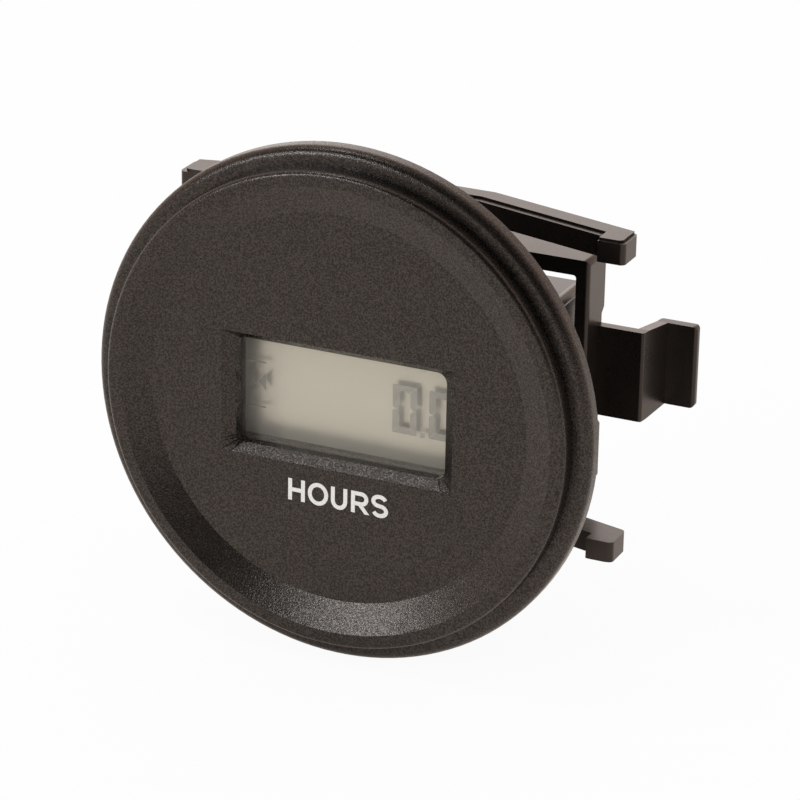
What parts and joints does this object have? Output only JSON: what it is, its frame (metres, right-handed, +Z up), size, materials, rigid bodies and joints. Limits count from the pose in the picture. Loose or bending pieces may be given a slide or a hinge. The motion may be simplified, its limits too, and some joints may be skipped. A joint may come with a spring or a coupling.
{
  "type": "hour meter",
  "caption": "Round panel-mounted electronic hour meter: dished bezel with a rectangular display window, box housing with ratchet racks, and a slide-on clamp with spring arms and release tabs.",
  "frame": {"origin": "centre of the panel's hole on the panel's front face, which is the flange's rear face", "axes": "+Y into the panel, along the spigot; -Y is the way the display faces; +X to the right seen from the front; +Z up"},
  "size_m": [0.062, 0.0364, 0.0604],
  "materials": {
    "bezel": "fine spark-eroded texture",
    "lens": "clear polished acrylic",
    "film": "satin film",
    "display_glass": "clear",
    "reflector": "diffuse reflecting film",
    "holder": "moulded",
    "contact_rubber": "layered carbon and silicone",
    "board": "solder-masked glass fibre",
    "chip": "moulded epoxy",
    "nickel": "nickel-plated",
    "can": "drawn can",
    "ceramic": "fired ceramic",
    "terminal": "tinned brass",
    "seal": "poured resin",
    "housing": "smooth moulded",
    "clamp": "satin moulded"
  },
  "bodies": {
    "meter": {"bezel": "bezel", "window_lens": "lens", "lcd_front_film": "film", "lcd_front_glass": "display_glass", "lcd_rear_glass": "display_glass", "lcd_reflector": "reflector", "lcd_holder": "holder", "contact_strip": "contact_rubber", "circuit_board": "board", "counter_chip": "chip", "memory_chip": "chip", "timing_crystal": "nickel", "lithium_cell": "nickel", "cell_front_tab": "nickel", "cell_rear_tab": "nickel", "surge_suppressor": "chip", "rectifier": "chip", "filter_capacitor": "can", "dropping_resistors": "chip", "chip_capacitors": "ceramic", "positive_terminal": "terminal", "negative_terminal": "terminal", "terminal_seal": "seal", "housing": "housing"},
    "clamp": {"mounting_clamp": "clamp"}
  },
  "joints": [
    {"name": "clamp_slide", "type": "slide", "parent": "meter", "child": "clamp", "axis": [0, 1, 0], "range_m": [-0.0115, 0.0025]}
  ]
}
